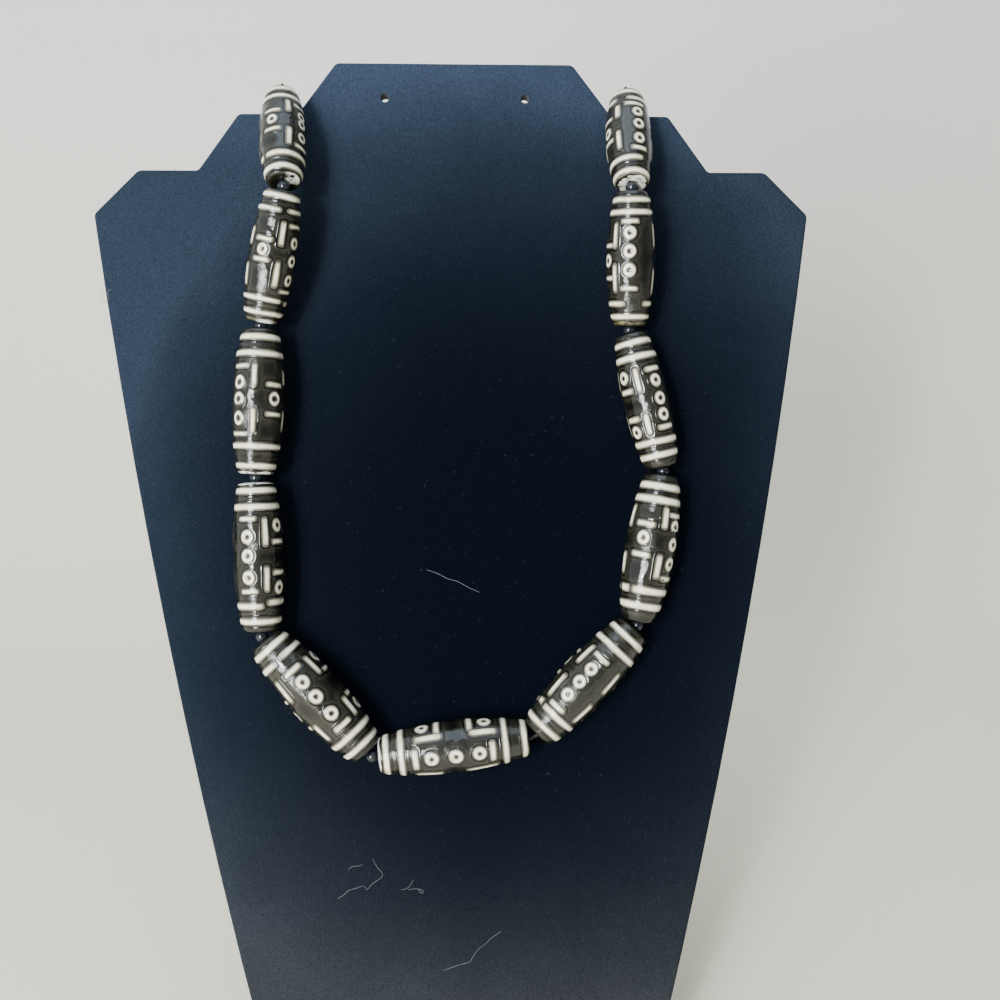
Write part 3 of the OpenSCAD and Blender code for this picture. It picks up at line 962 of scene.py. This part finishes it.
def clasp_rings(length, radius, bore):
    """The clasp's rings by radius and height, rounded at both ends and grooved where its halves meet"""
    groove = [(radius - clasp_seam_w, clasp_seam_w / 2), (radius, clasp_seam_w / 2)]
    rounded = [(radius - clasp_round * (1 - math.sin(turn)), length / 2 - clasp_round * (1 - math.cos(turn)))
               for turn in clasp_turns]
    half = groove + rounded + [(bore, length / 2)]
    return [(r, -h) for r, h in reversed(half)] + half


points = np.array([v.co for v in nodes["clasp"].data.vertices])
clasp_middle = (points.max(0) + points.min(0)) / 2
clasp_length, clasp_width = np.ptp(points, axis=0)[:2]
clasp_bore_r = np.linalg.norm((points - clasp_middle)[:, 1:], axis=1).min()
clasp = turned_piece("barrel_clasp", clasp_rings(clasp_length, clasp_width / 2, clasp_bore_r))
clasp.data.transform(Matrix.Translation(Vector(clasp_middle)) @ Matrix.Rotation(math.pi / 2, 4, "Y"))
clasp.data.materials.append(clasp_metal)
settle(clasp, "clasp_metal", "clasp")


# The floor is a pale sheet that curves up behind into a wall. A window on the left with one bright pane, a
# lamp overhead and the room light it.
floor_w = 3.0
floor_front = -1.2
wall_y = 0.62
curve_r = 0.35
wall_top = 1.6
curve_steps = 16
floor_cream = (0.87, 0.81, 0.64)
wall_grey = (0.78, 0.80, 0.79)
grey_above = (0.0, 0.5)
# The room's light is strongest on its bright side and falls off with the cosine of the turn away from it.
room_colour = (0.88, 0.94, 1.0)
room_bright_side = (-0.90, -0.10, 0.42)
room_fade = (-0.08, 0.8)
room_strength = (0.2, 1.25)

bpy.ops.object.select_all(action="DESELECT")
bpy.ops.mesh.primitive_plane_add(size=1)
floor = bpy.context.object
floor.name = "floor"
bpy.ops.object.mode_set(mode="EDIT")
bpy.ops.transform.resize(value=(floor_w, wall_y - curve_r - floor_front, 1))
bpy.ops.transform.translate(value=(0, (wall_y - curve_r + floor_front) / 2, 0))
bpy.ops.object.mode_set(mode="OBJECT")
rear = max(v.co.y for v in floor.data.vertices)
pick(floor, "edges", lambda e: all(floor.data.vertices[v].co.y > rear - 1e-4 for v in e.vertices))
arc = math.pi / 2 / curve_steps
for k in range(curve_steps):
    bpy.ops.mesh.extrude_region_move(TRANSFORM_OT_translate={"value": (
        0, curve_r * (math.sin((k + 1) * arc) - math.sin(k * arc)),
        curve_r * (math.cos(k * arc) - math.cos((k + 1) * arc)))})
bpy.ops.mesh.extrude_region_move(TRANSFORM_OT_translate={"value": (0, 0, wall_top - curve_r)})
bpy.ops.mesh.select_all(action="SELECT")
bpy.ops.mesh.normals_make_consistent(inside=False)
bpy.ops.object.mode_set(mode="OBJECT")
bpy.ops.object.shade_smooth()
pale, parts, links = new_material("pale_sheet")
coords = object_coords(pale)
place = parts.new("ShaderNodeSeparateXYZ")
links.new(coords, place.inputs["Vector"])
links.new(blend(pale, spread(pale, place.outputs["Z"], *grey_above), floor_cream, wall_grey),
          parts["Principled BSDF"].inputs["Base Color"])
parts["Principled BSDF"].inputs["Roughness"].default_value = 0.9
floor.data.materials.append(pale)

world = bpy.data.worlds.new("soft_room")
world.use_nodes = True
parts, links = world.node_tree.nodes, world.node_tree.links
facing = parts.new("ShaderNodeVectorMath")
facing.operation = "DOT_PRODUCT"
facing.inputs[1].default_value = room_bright_side
links.new(parts.new("ShaderNodeTexCoord").outputs["Generated"], facing.inputs[0])
fade = parts.new("ShaderNodeMapRange")
fade.inputs["From Min"].default_value = room_fade[0]
fade.inputs["From Max"].default_value = room_fade[1]
fade.inputs["To Min"].default_value = room_strength[0]
fade.inputs["To Max"].default_value = room_strength[1]
links.new(facing.outputs["Value"], fade.inputs["Value"])
links.new(fade.outputs["Result"], parts["Background"].inputs["Strength"])
parts["Background"].inputs["Color"].default_value = (*room_colour, 1)
bpy.context.scene.world = world


def soft_lamp(name, place, aim, width, height, power, colour):
    """A rectangular lamp at a place, turned to what it lights"""
    light = bpy.data.lights.new(name, "AREA")
    light.shape = "RECTANGLE"
    light.size = width
    light.size_y = height
    light.energy = power
    light.color = colour
    lamp = bpy.data.objects.new(name, light)
    bpy.context.scene.collection.objects.link(lamp)
    turn = (Vector(aim) - Vector(place)).to_track_quat("-Z", "Y")
    lamp.matrix_world = Matrix.Translation(place) @ turn.to_matrix().to_4x4()


necklace_middle = (0, 0.03, 0.18)
soft_lamp("window", (-0.44, -0.80, 0.32), necklace_middle,
          width=0.30, height=0.60, power=16.0, colour=(0.97, 0.985, 1.0))
soft_lamp("bright_pane", (-0.40, -0.84, 0.38), necklace_middle,
          width=0.06, height=0.20, power=5.0, colour=(1.0, 1.0, 0.98))
soft_lamp("overhead", (0.0, -0.22, 1.15), necklace_middle,
          width=0.9, height=0.8, power=5.5, colour=(0.66, 0.83, 1.0))
